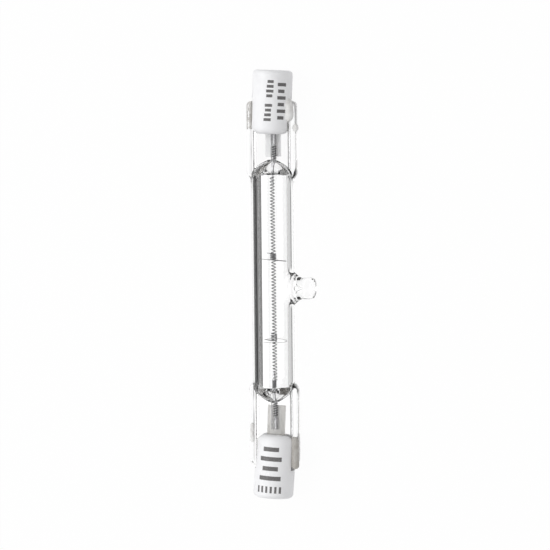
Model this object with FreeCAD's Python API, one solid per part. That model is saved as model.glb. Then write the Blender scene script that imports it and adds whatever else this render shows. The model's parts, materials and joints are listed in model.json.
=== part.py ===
import FreeCAD, Part
import math
import os
from FreeCAD import Placement, Rotation, Vector

# Linear halogen lamp, all lengths in millimetres.
# It is modelled with its long axis along Y, its pinched ends flat in the XY plane and its
# exhaust tip towards +X, and is then rolled so that it lies on its tube and its tip.

# Whole lamp
overall_length = 78.0
end_a_press = 18.7
end_b_press = 19.9
end_a_gap = 0.35
end_b_gap = 0.8

# Quartz tube
tube_diameter = 7.8
tube_wall = 1.15

# Pinched ends of the tube
pinch_width = 9.0
pinch_thickness = 3.2
pinch_web = 2.4
pinch_flange = 1.0
pinch_rib = 1.4
pinch_slope = 0.45
pinch_corner = 0.9
pinch_edge_round = 0.5
shoulder_chamfer = 1.05
shoulder_reach = 2.6
shoulder_tip = 1.0
hollow_reach = 2.1
hollow_tip = 0.3
hollow_set_back = 0.3

# Exhaust tip
tip_place = -0.75
tip_diameter = 3.86
tip_reach = 7.95
tip_nose_round = 1.05
tip_flare = 1.3
tip_hole = 2.7
tip_hole_neck = 0.5
tip_hole_depth = 5.7
tip_hole_start = 3.4

# Ceramic caps
cap_diameter = 7.3
cap_length = 11.6
cap_outer_round = 0.7
cap_inner_round = 1.2
cap_slot_width = 3.4
cap_slot_depth = 6.4
cap_a_cant = 2.7
cap_b_cant = 4.0
cap_lean_below = 0.6

# Contacts
recess_diameter = 3.2
recess_depth = 1.25
contact_diameter = 2.3
contact_set_back = 0.3
contact_thickness = 0.5
contact_round = 0.15
contact_clearance = 0.03
shank_diameter = 1.4
shank_length = 1.2
shank_clearance = 0.05

# Cement, with a smear beside one slot and a drop beside each
cement_inset = 0.5
cement_margin = 0.6
smear_radius = 0.95
smear_inset = 0.45
smear_length = 4.6
drop_radius = 0.6
drop_a_inset = 0.45
drop_b_inset = 0.56
drop_a_length = 2.0
drop_b_length = 3.4

# Leads and foils inside the pinches
lead_diameter = 0.8
lead_flat = 0.04
lead_clearance = 0.1
stem_diameter = 0.42
stem_inserted = 1.6
pad_length = 2.1
outer_lead_overlap = 2.0
foil_length = 7.8
foil_thickness = 0.1
foil_edge = 0.04
foil_a_width = 2.85
foil_b_width = 3.3
foil_a_lean = 0.0
foil_b_lean = 2.5
lead_a_shift = 0.45
lead_b_shift = -0.25
leg_diameter = 0.2
leg_a_shift = -0.1
leg_b_shift = 0.45
foil_start = 3.0
foil_seat = 0.1
spiral_start = 2.3
spiral_length = 3.0
spiral_wire = 0.13
spiral_pitch = 0.3

# Filament and what holds it
filament_diameter = 0.85
filament_wire = 0.18
filament_pitch = 0.366
filament_a_inset = 0.7
filament_b_inset = 1.6
tight_pitch = 0.17
support_wire = 0.26
support_turns = 2.5
support_pitch = 0.3
support_clearance = 0.03
support_ring = 4.9
support_ring_gap = 35.0
support_a_place = 4.7
support_a_turn = 0.0
support_b_place = -10.4
support_b_turn = -150.0

# Flat sides that stand in for each round turn of a fine coil, a thin wire and a small round edge
coil_sides = 6
ring_sides = 28
wire_sides = 8
round_steps = 3

tube_radius = tube_diameter / 2
bore_radius = tube_radius - tube_wall
half_length = overall_length / 2
cap_radius = cap_diameter / 2
cap_inner_end = half_length - cap_length
slot_bottom = cap_inner_end + cap_slot_depth
cap_lean_place = slot_bottom - cap_lean_below
lead_radius = lead_diameter / 2
stem_radius = stem_diameter / 2
leg_radius = leg_diameter / 2
spiral_radius = stem_radius / math.cos(math.pi / coil_sides) + spiral_wire / 2
foil_top = -(lead_radius - lead_flat)
recess_floor = half_length - recess_depth
contact_face = recess_floor - contact_set_back
contact_back = contact_face - contact_thickness
shank_end = contact_back - shank_length
tip_radius = tip_diameter / 2
tip_nose_centre = tip_reach - tip_nose_round
tip_nose_flat = tip_radius - tip_nose_round


class End:
    """One end of the lamp, built pointing along +Y and then turned to its place."""

    def __init__(self, name, turn, press, gap, coil_inset, shifts, foil_shape, cant):
        self.name = name
        self.turn = turn
        self.seal = half_length - press
        self.glass = slot_bottom - gap
        self.coil_end = self.seal - coil_inset
        self.lead_shift, self.leg_shift = shifts
        self.foil_width, self.foil_lean = foil_shape
        self.cant = cant
        self.spiral_from = self.seal + spiral_start
        self.pad_from = self.spiral_from + spiral_length
        self.pad_to = self.pad_from + pad_length
        self.foil_from = self.seal + foil_start
        self.foil_to = self.foil_from + foil_length
        self.outer_from = self.foil_to - outer_lead_overlap


SHIFTS_A = (lead_a_shift, leg_a_shift)
SHIFTS_B = (lead_b_shift, leg_b_shift)
FOIL_A = (foil_a_width, foil_a_lean)
FOIL_B = (foil_b_width, foil_b_lean)
END_A = End("a", 0, end_a_press, end_a_gap, filament_a_inset, SHIFTS_A, FOIL_A, cap_a_cant)
END_B = End("b", 180, end_b_press, end_b_gap, filament_b_inset, SHIFTS_B, FOIL_B, cap_b_cant)


def place_end(shape, end):
    """Turn what was built pointing along +Y to its own end of the lamp."""
    placed = shape.copy()
    placed.rotate(Vector(0, 0, 0), Vector(0, 0, 1), end.turn)
    return placed


def cant(shape, end):
    """Lean a cap, or what sits in it, in the plane of the pinch, about a place where the lead is free."""
    leaned = shape.copy()
    leaned.rotate(Vector(0, cap_lean_place, 0), Vector(0, 0, 1), -end.cant)
    return leaned


def rod(radius, start, stop, x=0.0):
    """A round bar along Y."""
    return Part.makeCylinder(radius, stop - start, Vector(x, start, 0), Vector(0, 1, 0))


def block(x_from, x_to, y_from, y_to, z_from, z_to):
    """A box from its lowest to its highest corner."""
    return Part.makeBox(x_to - x_from, y_to - y_from, z_to - z_from, Vector(x_from, y_from, z_from))


def cone(radius, tip, start, reach):
    """The tapering end of a bar, from its full radius to a small flat tip."""
    return Part.makeCone(radius, tip, reach, Vector(0, start, 0), Vector(0, 1, 0))


def swept_square(radius, wire, start, rise, turn, steps):
    """A wire of square section bent about Y, rising and turning evenly in straight steps."""
    sections = []
    for step in range(steps + 1):
        angle = turn * step / steps
        along = start + rise * step / steps
        corners = []
        for out, up in ((-1, -1), (1, -1), (1, 1), (-1, 1)):
            reach = radius + out * wire / 2
            corners.append(Vector(reach * math.cos(angle), along + up * wire / 2, reach * math.sin(angle)))
        sections.append(Part.makePolygon(corners + [corners[0]]))
    return Part.makeLoft(sections, True, True)


def coil(radius, wire, pitch, start, stop):
    """A wound wire, its outer side at the given radius plus half the wire."""
    rise = stop - start - wire
    steps = max(1, round(rise / pitch * coil_sides))
    return swept_square(radius, wire, start + wire / 2, rise, 2 * math.pi * steps / coil_sides, steps)


def ring_of(radius, place):
    """The corners of a many-sided ring about Y, centred on a place."""
    corners = []
    for side in range(wire_sides):
        angle = 2 * math.pi * side / wire_sides
        corners.append(place.add(Vector(radius * math.cos(angle), 0, radius * math.sin(angle))))
    return Part.makePolygon(corners + [corners[0]])


def wire_run(radius, places):
    """A thin wire through a row of places that runs mostly along Y."""
    return Part.makeLoft([ring_of(radius, place) for place in places], True, True)


def lump(radius, start, stop):
    """A rounded lump along Y, made of flat sides."""
    sections = []
    for step in range(round_steps):
        lift = math.radians(90 * (step + 0.5) / round_steps)
        place = start.add(Vector(0, -radius * math.cos(lift), 0))
        sections.append(ring_of(radius * math.sin(lift), place))
    for step in reversed(range(round_steps)):
        lift = math.radians(90 * (step + 0.5) / round_steps)
        place = stop.add(Vector(0, radius * math.cos(lift), 0))
        sections.append(ring_of(radius * math.sin(lift), place))
    return Part.makeLoft(sections, True, True)


def eased(centre, radius, start, stop):
    """The corners of a small round edge, from one angle to another about its centre."""
    corners = []
    for step in range(round_steps + 1):
        angle = math.radians(start + (stop - start) * step / round_steps)
        corners.append(centre.add(Vector(radius * math.cos(angle), radius * math.sin(angle), 0)))
    return corners


def pinch_blank(end):
    """The pressed flat, with its chamfered shoulders and rounded outer corners."""
    half = pinch_width / 2
    inner = end.seal - shoulder_chamfer
    turn = pinch_corner * math.sqrt(0.5)
    low = end.glass - pinch_corner
    outline = [
        Part.makeLine(Vector(-half, low, 0), Vector(-half, end.seal, 0)),
        Part.makeLine(Vector(-half, end.seal, 0), Vector(shoulder_chamfer - half, inner, 0)),
        Part.makeLine(Vector(shoulder_chamfer - half, inner, 0), Vector(half - shoulder_chamfer, inner, 0)),
        Part.makeLine(Vector(half - shoulder_chamfer, inner, 0), Vector(half, end.seal, 0)),
        Part.makeLine(Vector(half, end.seal, 0), Vector(half, low, 0)),
        Part.Arc(
            Vector(half, low, 0),
            Vector(half - pinch_corner + turn, low + turn, 0),
            Vector(half - pinch_corner, end.glass, 0),
        ).toShape(),
        Part.makeLine(Vector(half - pinch_corner, end.glass, 0), Vector(pinch_corner - half, end.glass, 0)),
        Part.Arc(
            Vector(pinch_corner - half, end.glass, 0),
            Vector(pinch_corner - half - turn, low + turn, 0),
            Vector(-half, low, 0),
        ).toShape(),
    ]
    face = Part.Face(Part.Wire(outline))
    face.translate(Vector(0, 0, -pinch_thickness / 2))
    flat = face.extrude(Vector(0, 0, pinch_thickness))
    long_edges = []
    for edge in flat.Edges:
        box = edge.BoundBox
        if box.YLength > end.glass - end.seal - 2 * pinch_corner and box.XLength < pinch_corner:
            long_edges.append(edge)
    return flat.makeFillet(pinch_edge_round, long_edges)


def pinch_pocket(end, side, face):
    """One long hollow pressed beside the centre rib."""
    near = pinch_rib / 2
    far = pinch_width / 2 - pinch_flange
    deep = pinch_web / 2
    high = pinch_thickness / 2 + pinch_slope
    slope = pinch_slope * (high - deep) / ((pinch_thickness - pinch_web) / 2)
    start = end.seal - shoulder_chamfer - pinch_corner
    corners = [
        Vector(side * near, start, face * deep),
        Vector(side * far, start, face * deep),
        Vector(side * (far + slope), start, face * high),
        Vector(side * (near - slope), start, face * high),
    ]
    profile = Part.Face(Part.makePolygon(corners + [corners[0]]))
    return profile.extrude(Vector(0, end.glass + pinch_corner - start, 0))


def foil(end):
    """The thin sealing foil, thinner at its long edges, leaning a little in the pinch."""
    half = end.foil_width / 2
    low = foil_top - foil_thickness
    thin = (foil_thickness - foil_edge) / 2
    bevel = half / 3
    corners = [
        Vector(-half, end.foil_from, foil_top - thin),
        Vector(bevel - half, end.foil_from, foil_top),
        Vector(half - bevel, end.foil_from, foil_top),
        Vector(half, end.foil_from, foil_top - thin),
        Vector(half, end.foil_from, low + thin),
        Vector(half - bevel, end.foil_from, low),
        Vector(bevel - half, end.foil_from, low),
        Vector(-half, end.foil_from, low + thin),
    ]
    profile = Part.Face(Part.makePolygon(corners + [corners[0]]))
    strip = profile.extrude(Vector(0, foil_length, 0))
    strip.translate(Vector(end.lead_shift / 2, 0, 0))
    strip.rotate(Vector(0, end.foil_to, 0), Vector(0, 0, 1), -end.foil_lean)
    return strip


def flattened(shape, end):
    """Cut the flat where a lead is welded to the foil."""
    reach = pinch_width
    low = end.foil_from - foil_seat
    high = end.foil_to + foil_seat
    waste = block(-reach, reach, low, high, -reach, foil_top)
    return shape.cut(waste)


def inner_lead(end):
    """The stem inside the filament's last turns, its jog into the pinch and its thick welded end."""
    start = Vector(0, end.coil_end - stem_inserted, 0)
    bend_from = Vector(0, end.seal - stem_radius, 0)
    bend_to = Vector(end.lead_shift, end.spiral_from - stem_radius, 0)
    stop = Vector(end.lead_shift, end.pad_from + pad_length / 2, 0)
    stem = wire_run(stem_radius, [start, bend_from, bend_to, stop])
    pad = rod(lead_radius, end.pad_from, end.pad_to, end.lead_shift)
    return flattened(stem.fuse([pad, leg(end)]), end).removeSplitter()


def leg(end):
    """The filament's own thin end, which runs beside the spiral."""
    start = Vector(0, end.seal - 2 * stem_radius, 0)
    bend = Vector(end.leg_shift, end.seal + hollow_reach - hollow_set_back, 0)
    return wire_run(leg_radius, [start, bend, Vector(end.leg_shift, end.pad_to, 0)])


def lead_rooms(end):
    """The rooms that the stem, the leg, the spiral and the welded end take in the glass."""
    bend_from = Vector(0, end.seal - stem_radius, 0)
    bend_to = Vector(end.lead_shift, end.spiral_from - stem_radius, 0)
    stop = Vector(end.lead_shift, end.spiral_from + stem_radius, 0)
    stem = wire_run(stem_radius, [bend_from, bend_to, stop])
    return [stem, rod(lead_radius, end.spiral_from, end.pad_to, end.lead_shift), leg(end)]


def lead_spiral(end):
    """The fine wire wound round the stem inside the pinch, and on one end in the hollow too."""
    wound = coil(spiral_radius, spiral_wire, spiral_pitch, end.spiral_from, end.pad_from)
    wound.translate(Vector(end.lead_shift, 0, 0))
    solids = [wound]
    stop = end.seal - stem_radius
    if stop - end.coil_end > 4 * spiral_wire:
        solids.append(coil(spiral_radius, spiral_wire, tight_pitch, end.coil_end, stop))
    return Part.makeCompound(solids)


def outer_lead(end):
    """The thick lead from the foil, out of the glass and leaning with the cap to its contact."""
    start = Vector(end.lead_shift, end.outer_from, 0)
    knee = Vector(end.lead_shift, end.glass - lead_radius, 0)
    rings = [ring_of(lead_radius, place) for place in (start, knee, Vector(0, cap_lean_place, 0))]
    rings.append(cant(ring_of(lead_radius, Vector(0, shank_end, 0)), end))
    return flattened(Part.makeLoft(rings, True, True), end)


def outer_lead_room(end):
    """The straight room that the outer lead takes in the glass."""
    start = Vector(end.lead_shift, end.outer_from, 0)
    knee = Vector(end.lead_shift, end.glass - lead_radius, 0)
    return wire_run(lead_radius, [start, knee]).fuse(outer_lead(end))


def tip_nose(place):
    """The corners of the tip's rounded nose, with its axis at a place along Y."""
    return eased(Vector(tip_nose_centre, place + tip_nose_flat, 0), tip_nose_round, 90, 0)


def tube_and_tip():
    """The straight tube with its exhaust tip, blended where the tip was drawn from the wall."""
    tube = rod(tube_radius, -END_B.seal, END_A.seal)
    foot = Vector(0, tip_place, 0)
    top = Vector(0, tip_place + tip_radius, 0)
    outline = [foot, top] + tip_nose(tip_place) + [Vector(tip_reach, tip_place, 0), foot]
    profile = Part.Face(Part.makePolygon(outline))
    tip = profile.revolve(Vector(0, tip_place, 0), Vector(1, 0, 0), 360)
    joined = tube.fuse(tip).removeSplitter()
    root = []
    for edge in joined.Edges:
        box = edge.BoundBox
        inside = abs(box.YMax - tip_place) < tube_radius and abs(box.YMin - tip_place) < tube_radius
        if inside and box.XMax < tube_radius + contact_clearance and box.ZLength > tip_radius:
            root.append(edge)
    return joined.makeFillet(tip_flare, root)


def tip_hollow():
    """The narrowing hollow that is left where the tip was drawn off and melted shut."""
    outline = [
        Vector(0, tip_place, 0),
        Vector(0, tip_place + tip_hole / 2, 0),
        Vector(bore_radius, tip_place + tip_hole / 2, 0),
        Vector(tip_hole_start, tip_place + tip_hole / 2 - tip_hole_neck / 4, 0),
        Vector(tip_hole_depth, tip_place + tip_hole_neck / 2, 0),
        Vector(tip_hole_depth + tip_hole_neck / 2, tip_place, 0),
    ]
    profile = Part.Face(Part.makePolygon(outline + [outline[0]]))
    return profile.revolve(Vector(0, tip_place, 0), Vector(1, 0, 0), 360)


def quartz_skin():
    """The outside of the quartz: the tube, its tip and both pinches, with no hollow yet."""
    glass = tube_and_tip()
    for end in (END_A, END_B):
        flat = pinch_blank(end)
        for side in (1, -1):
            for face in (1, -1):
                flat = flat.cut(pinch_pocket(end, side, face))
        shoulder = cone(tube_radius, shoulder_tip, end.seal, shoulder_reach)
        glass = glass.fuse([place_end(shoulder, end), place_end(flat, end)])
    return glass.removeSplitter()


def quartz_envelope(skin):
    """One piece of blown and pressed quartz, hollow round the filament and closed on the leads."""
    hollow_a = END_A.seal - hollow_set_back
    hollow_b = hollow_set_back - END_B.seal
    glass = skin.cut(rod(bore_radius, hollow_b, hollow_a).fuse(tip_hollow()))
    for end in (END_A, END_B):
        taper = cone(bore_radius, hollow_tip, end.seal - hollow_set_back, hollow_reach)
        glass = glass.cut(place_end(taper, end))
        for room in lead_rooms(end) + [foil(end), outer_lead_room(end)]:
            glass = glass.cut(place_end(room, end))
    return glass


def ceramic_cap():
    """The round ceramic end, with its contact recess, its lead hole and the slot for the pinch."""
    outer = Vector(cap_radius - cap_outer_round, half_length - cap_outer_round, 0)
    inner = Vector(cap_radius - cap_inner_round, cap_inner_end + cap_inner_round, 0)
    foot = Vector(0, cap_inner_end, 0)
    outline = [foot] + eased(inner, cap_inner_round, -90, 0) + eased(outer, cap_outer_round, 0, 90)
    profile = Part.Face(Part.makePolygon(outline + [Vector(0, half_length, 0), foot]))
    cap = profile.revolve(Vector(0, 0, 0), Vector(0, 1, 0), 360)
    slot_half = cap_slot_width / 2
    slot = block(-cap_radius - 1, cap_radius + 1, cap_inner_end - 1, slot_bottom, -slot_half, slot_half)
    recess = rod(recess_diameter / 2, recess_floor, half_length + 1)
    seat = rod(contact_diameter / 2 + contact_clearance, contact_back, half_length)
    shank_hole = rod(shank_diameter / 2 + shank_clearance, shank_end, contact_back)
    lead_hole = rod(lead_radius + lead_clearance, slot_bottom - 1, shank_end)
    return cap.cut([slot, recess, seat, shank_hole, lead_hole])


def contact_button():
    """The contact below the recess, with the shank that the lead is welded to."""
    disc = rod(contact_diameter / 2, contact_back, contact_face)
    rim = [edge for edge in disc.Edges if edge.BoundBox.YMin > contact_face - contact_round]
    disc = disc.makeChamfer(contact_round, rim)
    return disc.fuse(rod(shank_diameter / 2, shank_end, contact_back)).removeSplitter()


def cement(end, glass, lead, cap):
    """The fill between the slot and the pinch, proud at both open sides, with what ran out of it."""
    slot_half = cap_slot_width / 2
    start = cap_inner_end + cement_margin
    fill = block(-pinch_width, pinch_width, start, slot_bottom, -slot_half, slot_half)
    mass = cant(fill.common(rod(pinch_width / 2 - cement_inset, start, slot_bottom)), end)
    if end is END_A:
        smear_reach = cap_radius - smear_inset
        low = Vector(smear_reach, slot_bottom - smear_length + smear_radius, slot_half)
        high = Vector(smear_reach, slot_bottom - smear_radius, slot_half)
        mass = mass.fuse(lump(smear_radius, low, high))
        drop_length = drop_a_length
        drop_reach = pinch_width / 2 - drop_a_inset
    else:
        drop_length = drop_b_length
        drop_reach = pinch_width / 2 - drop_b_inset
    run = Vector(drop_reach, start + drop_radius - drop_length / 2, slot_half - drop_radius / 2)
    drop = lump(drop_radius, run, run.add(Vector(0, max(0, drop_length - 2 * drop_radius), 0)))
    return mass.fuse(drop).cut([glass, lead, cap])


def filament():
    """The coiled wire that glows, along the middle of the bore."""
    radius = (filament_diameter - filament_wire) / 2
    return coil(radius, filament_wire, filament_pitch, -END_B.coil_end, END_A.coil_end)


def filament_support(place, turn):
    """A wire wound on the filament, with an arm out to an open ring that centres it in the bore."""
    inner = (filament_diameter / 2 + support_clearance) / math.cos(math.pi / coil_sides)
    wound_radius = inner + support_wire / 2
    ring_radius = (support_ring - support_wire) / 2
    wound = coil(wound_radius, support_wire, support_pitch, 0, support_wire + support_turns * support_pitch)
    sweep = math.radians(360 - support_ring_gap)
    ring = swept_square(ring_radius, support_wire, support_wire / 2, 0, sweep, ring_sides)
    half = support_wire / 2
    arm = block(wound_radius, ring_radius, 0, support_wire, -half, half)
    whole = wound.fuse([ring, arm])
    whole.rotate(Vector(0, 0, 0), Vector(0, 1, 0), turn)
    whole.translate(Vector(0, place, 0))
    return whole


def rest_roll():
    """The roll about the long axis that brings the tube and the tip's nose down to one level."""
    rolls = []
    for corner in tip_nose(0):
        reach = math.hypot(corner.x, corner.y)
        rolls.append(math.asin(tube_radius / reach) - math.atan2(corner.y, corner.x))
    return math.degrees(min(rolls))


def build():
    """Make every piece in the lamp's own frame, by node name."""
    pieces = {}
    skin = quartz_skin()
    pieces["quartz_envelope"] = quartz_envelope(skin)
    pieces["filament"] = filament()
    pieces["filament_support_a"] = filament_support(support_a_place, support_a_turn)
    pieces["filament_support_b"] = filament_support(support_b_place, support_b_turn)
    for end in (END_A, END_B):
        cap = cant(ceramic_cap(), end)
        contact = cant(contact_button(), end)
        glass = place_end(skin, end)
        lead = outer_lead(end)
        pieces["ceramic_cap_" + end.name] = place_end(cap, end)
        pieces["contact_" + end.name] = place_end(contact, end)
        pieces["outer_lead_" + end.name] = place_end(lead, end)
        pieces["sealing_foil_" + end.name] = place_end(foil(end), end)
        pieces["inner_lead_" + end.name] = place_end(inner_lead(end), end)
        pieces["lead_spiral_" + end.name] = place_end(lead_spiral(end), end)
        pieces["cement_" + end.name] = place_end(cement(end, glass, lead, cap), end)
    return pieces


def lay_down(pieces):
    """Roll the lamp onto its tube and tip, and centre it over the origin on the floor."""
    roll = Placement(Vector(0, 0, 0), Rotation(Vector(0, 1, 0), rest_roll()))
    for shape in pieces.values():
        shape.Placement = roll.multiply(shape.Placement)
    reach = None
    for name in ("quartz_envelope", "ceramic_cap_a", "ceramic_cap_b", "cement_a", "cement_b"):
        box = pieces[name].optimalBoundingBox(False, False)
        if reach is None:
            reach = box
        else:
            reach.add(box)
    shift = Placement(Vector(-reach.Center.x, -reach.Center.y, -reach.ZMin), Rotation())
    for shape in pieces.values():
        shape.Placement = shift.multiply(shape.Placement)
    return reach


os.makedirs("parts", exist_ok=True)
lamp = build()
size = lay_down(lamp)
for name, shape in lamp.items():
    shape.exportStep("parts/" + name + ".step")
    print(name, shape.ShapeType, len(shape.Solids), len(shape.Faces), round(shape.Volume, 3))
print("roll", round(rest_roll(), 2), "box", size.XLength, size.YLength, size.ZLength)
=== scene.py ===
"""A linear halogen lamp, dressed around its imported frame.

Every piece is modelled in millimetres in the lamp's own axes: Y along the tube, the pinched
ends flat in the XY plane and the exhaust tip towards +X. It is then laid down with the same
roll and place as the frame, in metres.
"""

from __future__ import annotations

import json
import logging
import math
from dataclasses import dataclass
from enum import Enum
from functools import cached_property
from typing import Callable

import bmesh
import bpy
from bpy.types import Node, NodeSocket, NodeTree, Object
from mathutils import Matrix, Vector, noise

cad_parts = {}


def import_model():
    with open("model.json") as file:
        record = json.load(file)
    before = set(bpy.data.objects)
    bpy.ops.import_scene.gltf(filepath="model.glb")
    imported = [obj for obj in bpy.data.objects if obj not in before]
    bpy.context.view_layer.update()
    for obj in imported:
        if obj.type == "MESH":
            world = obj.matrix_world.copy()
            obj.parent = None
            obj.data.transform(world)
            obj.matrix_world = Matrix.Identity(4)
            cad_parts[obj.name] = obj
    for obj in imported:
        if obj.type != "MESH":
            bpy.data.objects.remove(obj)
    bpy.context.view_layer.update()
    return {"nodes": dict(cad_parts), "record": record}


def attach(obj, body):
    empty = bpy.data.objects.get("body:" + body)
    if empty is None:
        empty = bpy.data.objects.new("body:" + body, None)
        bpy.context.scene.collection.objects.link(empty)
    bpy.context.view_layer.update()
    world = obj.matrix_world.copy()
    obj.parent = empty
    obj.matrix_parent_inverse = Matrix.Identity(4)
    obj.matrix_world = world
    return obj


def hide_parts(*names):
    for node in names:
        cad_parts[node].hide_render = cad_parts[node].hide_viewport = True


LOG = logging.getLogger("lamp")
MM = 0.001
FULL_TURN = 2 * math.pi
QUARTER_TURN = math.pi / 2

Colour = tuple[float, float, float]
Place = tuple[float, float, float]
Pair = tuple[float, float]
Outline = list[Pair]


class LampEnd(Enum):
    """The two ends of the lamp, with how far each is turned about Z from pointing along +Y."""

    A = ("a", 0.0)
    B = ("b", math.pi)

    @property
    def label(self) -> str:
        """The letter that ends its nodes' names."""
        return self.value[0]

    @property
    def turn(self) -> Matrix:
        """The turn from an end built along +Y to this end."""
        return Matrix.Rotation(self.value[1], 4, "Z")


@dataclass(frozen=True)
class Lay:
    """How the lamp and its two caps lie in the frame, read from the contact recesses."""

    centre: Vector
    roll: float
    caps: dict[LampEnd, Matrix]
    cap_middle: float = 33.2
    recess_middle: float = 38.375

    @classmethod
    def from_record(cls, record: dict) -> "Lay":
        """Work out the lie from the mounts.

        Args:
            record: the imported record.

        Returns:
            The lamp's centre in metres, its roll in radians and each cap's own axes.
        """
        mounts = {mount["name"]: mount for mount in record["mounts"]}
        recesses = {end: mounts["contact_recess_" + end.label] for end in LampEnd}
        across = Vector(recesses[LampEnd.A]["axis"])
        roll = math.atan2(-across.z, across.x)
        up = Vector((math.sin(roll), 0, math.cos(roll)))
        shift = Matrix.Translation((0, -cls.recess_middle, 0))
        caps = {}
        for end, recess in recesses.items():
            axis = Vector(recess["axis"])
            turn = Matrix((axis.cross(up), axis, up)).transposed().to_4x4()
            caps[end] = Matrix.Translation(recess["pos_m"]) @ turn @ Matrix.Scale(MM, 4) @ shift
        pivots = [cap @ Vector((0, cls.cap_middle, 0)) for cap in caps.values()]
        return cls((pivots[0] + pivots[1]) / 2, roll, caps)

    @property
    def matrix(self) -> Matrix:
        """From the lamp's own axes in millimetres to the frame in metres."""
        return Matrix.Translation(self.centre) @ Matrix.Rotation(self.roll, 4, "Y") @ Matrix.Scale(MM, 4)

    def end(self, end: LampEnd) -> Matrix:
        """From an end built along +Y to the frame."""
        return self.matrix @ end.turn


def soft_max(first: float, second: float, soft: float) -> float:
    """The larger of two numbers, with the crossing filled in."""
    share = max(0.0, min(1.0, 0.5 + 0.5 * (first - second) / soft))
    return second * (1 - share) + first * share + soft * share * (1 - share)


def straight_ramp(value: float, low: float, high: float) -> float:
    """A straight step from zero to one."""
    return max(0.0, min(1.0, (value - low) / (high - low)))


def ramp(value: float, low: float, high: float) -> float:
    """A soft step from zero to one."""
    share = straight_ramp(value, low, high)
    return share * share * (3 - 2 * share)


def arc(radius: float, across: float) -> float:
    """The height of a circle at a distance from its middle, or zero outside it."""
    return math.sqrt(max(0.0, radius * radius - across * across))


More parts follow.
